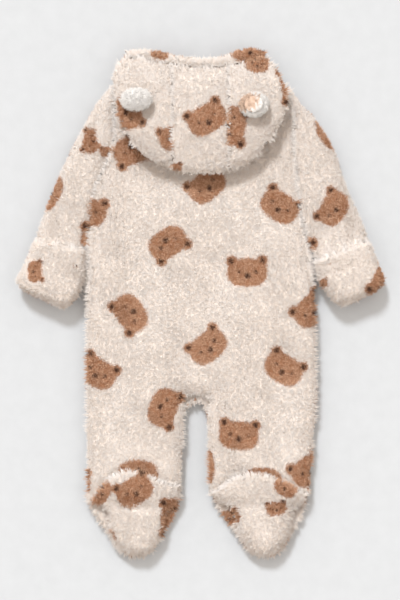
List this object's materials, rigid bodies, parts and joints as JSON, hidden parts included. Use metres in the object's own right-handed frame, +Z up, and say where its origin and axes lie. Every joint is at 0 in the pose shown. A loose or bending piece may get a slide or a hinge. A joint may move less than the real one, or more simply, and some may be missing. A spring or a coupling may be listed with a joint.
{
  "type": "baby faux fur pramsuit",
  "caption": "Hooded, footed baby pramsuit in deep faux fur with bear-head prints, round ears and turned-back cuffs, lying face down and flat.",
  "frame": {"origin": "on the surface that the garment lies on, under the middle of its outline", "axes": "+X to the right as seen from above with the head at the top, +Y towards the head, +Z up, out of the back of the garment"},
  "size_m": [0.4232, 0.5866, 0.0517],
  "materials": {
    "fur": "deep cream faux fur printed with brown bear heads",
    "ear_fur": "white faux fur",
    "ear_lining": "short tan pile",
    "tape": "woven cream tape",
    "zip_chain": "moulded cream zip teeth",
    "zip_slider": "satin die-cast slider"
  },
  "bodies": {
    "root": {"back": "fur", "front_left": "fur", "front_right": "fur", "sleeve_left": "fur", "sleeve_right": "fur", "cuff_left": "fur", "cuff_right": "fur", "foot_upper_left": "fur", "foot_upper_right": "fur", "sole_left": "fur", "sole_right": "fur", "hood_centre": "fur", "hood_side_left": "fur", "hood_side_right": "fur", "hood_band": "fur", "hood_under": "fur", "ear_left_outer": "ear_fur", "ear_right_outer": "ear_fur", "ear_left_lining": "ear_lining", "ear_right_lining": "ear_lining", "zip_tape": "tape", "zip_puller": "tape", "zip_chain": "zip_chain", "zip_slider": "zip_slider"}
  },
  "joints": []
}
